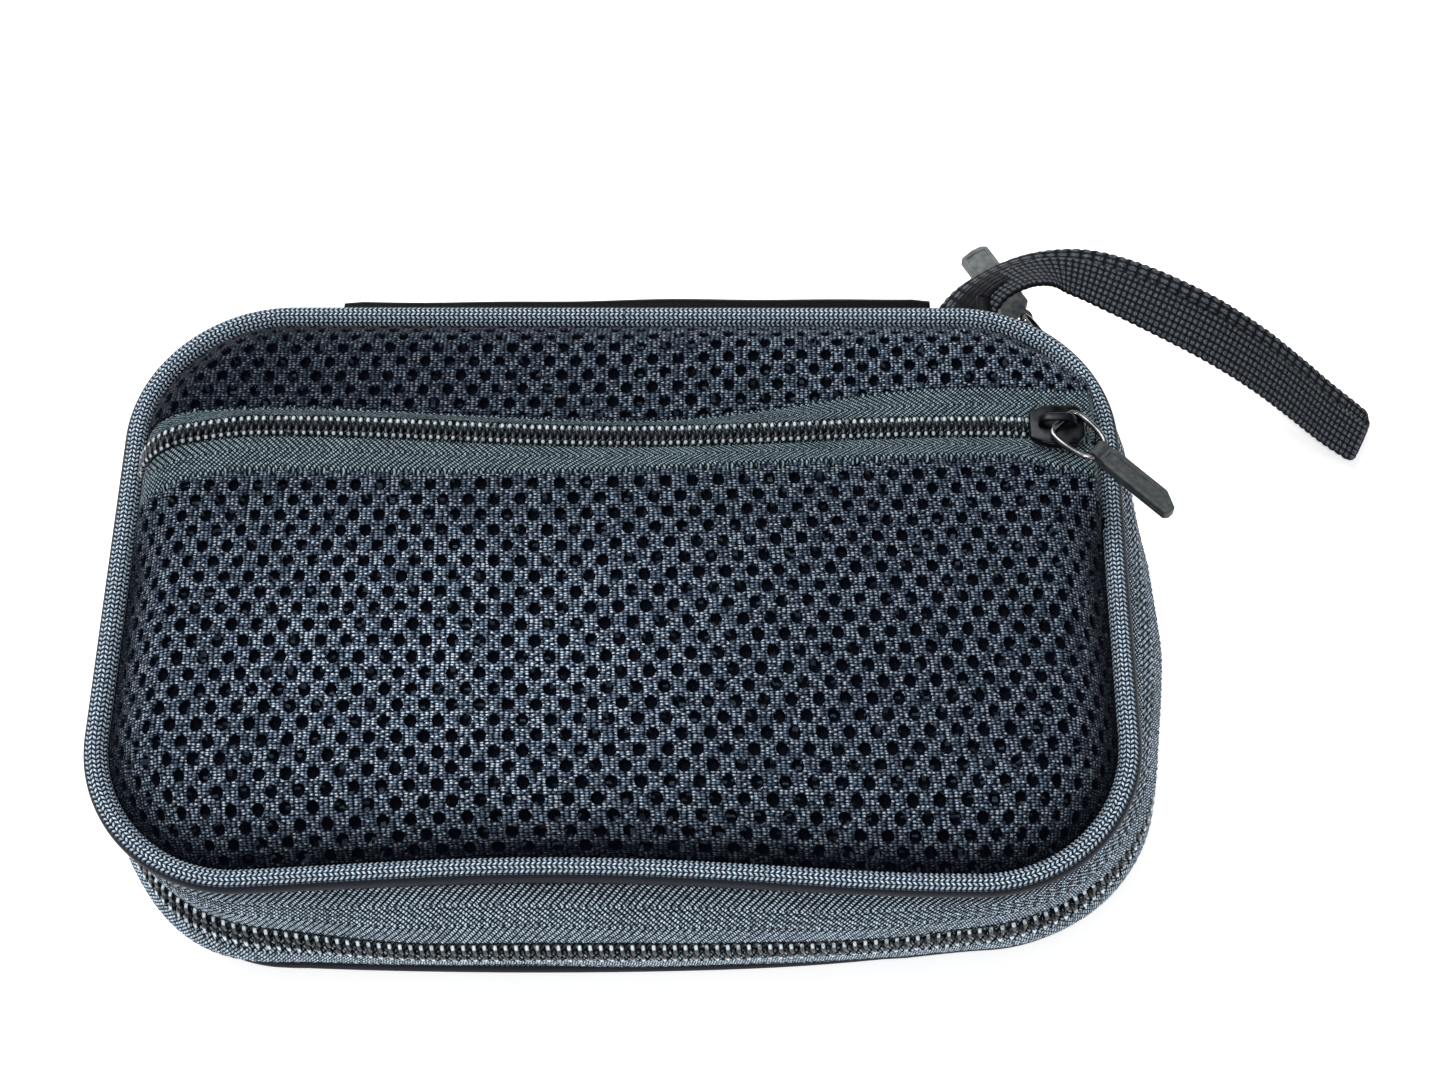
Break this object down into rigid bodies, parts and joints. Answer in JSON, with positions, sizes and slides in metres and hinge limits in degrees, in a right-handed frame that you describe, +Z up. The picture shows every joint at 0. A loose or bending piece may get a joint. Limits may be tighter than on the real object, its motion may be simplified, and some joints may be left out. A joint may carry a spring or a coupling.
{
  "type": "headphone carrying case",
  "caption": "Soft zip-round carrying case with a padded air-mesh front, a zipped front pocket, piped edges and a webbing wrist strap.",
  "frame": {"origin": "middle of the flat back face, which the case lies on", "axes": "+X along the width to the strap's end, +Y towards the hinge, +Z up through the front"},
  "size_m": [0.2257, 0.1355, 0.0486],
  "materials": {
    "air_mesh": "knitted spacer mesh",
    "foam_board": "foam sheet",
    "lining_cloth": "fine woven lining",
    "piping_cord": "braided cord",
    "zip_tape": "herringbone twill tape",
    "zip_nylon": "nylon coil",
    "spine_cloth": "smooth coated cloth",
    "strap_webbing": "coarse webbing",
    "slider_metal": "dark die-cast",
    "bail_steel": "bright wire",
    "tab_rubber": "moulded"
  },
  "bodies": {
    "base": {"back_mesh_panel": "air_mesh", "back_board": "foam_board", "back_lining": "lining_cloth", "back_piping": "piping_cord", "back_zip_tape": "zip_tape", "back_zip_chain": "zip_nylon", "back_seam_binding": "spine_cloth", "spine": "spine_cloth", "zip_end_left": "zip_tape", "zip_end_right": "zip_tape", "strap_anchor": "strap_webbing"},
    "lid": {"upper_mesh_panel": "air_mesh", "pocket_mesh_panel": "air_mesh", "pocket_tape_upper": "zip_tape", "pocket_tape_lower": "zip_tape", "pocket_chain_upper": "zip_nylon", "pocket_chain_lower": "zip_nylon", "lid_board": "foam_board", "lid_lining": "lining_cloth", "front_piping": "piping_cord", "front_zip_tape": "zip_tape", "front_zip_chain": "zip_nylon", "lid_seam_binding": "spine_cloth"},
    "pocket_slider": {"pocket_slider": "slider_metal"},
    "pocket_bail": {"pocket_bail": "bail_steel"},
    "pocket_tab": {"pocket_tab": "tab_rubber"},
    "main_slider": {"main_slider": "slider_metal"},
    "main_bail": {"main_bail": "bail_steel"},
    "main_tab": {"main_tab": "tab_rubber"},
    "wrist_strap": {"wrist_strap": "strap_webbing"}
  },
  "joints": [
    {"name": "lid_hinge", "type": "hinge", "parent": "base", "child": "lid", "pos_m": [0, 0.0531, 0.033], "axis": [-1, 0, 0], "range_deg": [0, 120]},
    {"name": "pocket_slide", "type": "slide", "parent": "lid", "child": "pocket_slider", "axis": [-1, 0, 0], "range_m": [0, 0.139]},
    {"name": "pocket_bail_swing", "type": "hinge", "parent": "pocket_slider", "child": "pocket_bail", "pos_m": [0.0736, 0.0235, 0.0468], "axis": [-0.7071, -0.7071, 0], "range_deg": [0, 100]},
    {"name": "pocket_tab_swing", "type": "hinge", "parent": "pocket_bail", "child": "pocket_tab", "pos_m": [0.07955, 0.01755, 0.0468], "axis": [-0.7071, -0.7071, 0], "range_deg": [0, 70]},
    {"name": "main_slide", "type": "hinge", "parent": "base", "child": "main_slider", "pos_m": [0.058, 0.028, 0.01765], "axis": [0, 0, -1], "range_deg": [0, 57]},
    {"name": "main_bail_swing", "type": "hinge", "parent": "main_slider", "child": "main_bail", "pos_m": [0.07603, 0.05576, 0.01765], "axis": [0, 0, -1], "range_deg": [0, 110]},
    {"name": "main_tab_swing", "type": "hinge", "parent": "main_bail", "child": "main_tab", "pos_m": [0.07182, 0.06304, 0.01765], "axis": [0, 0, 1], "range_deg": [-35, 35]},
    {"name": "strap_swing", "type": "hinge", "parent": "base", "child": "wrist_strap", "pos_m": [0.064, 0.06219, 0.0268], "axis": [0, 0, 1], "range_deg": [0, 60]}
  ]
}
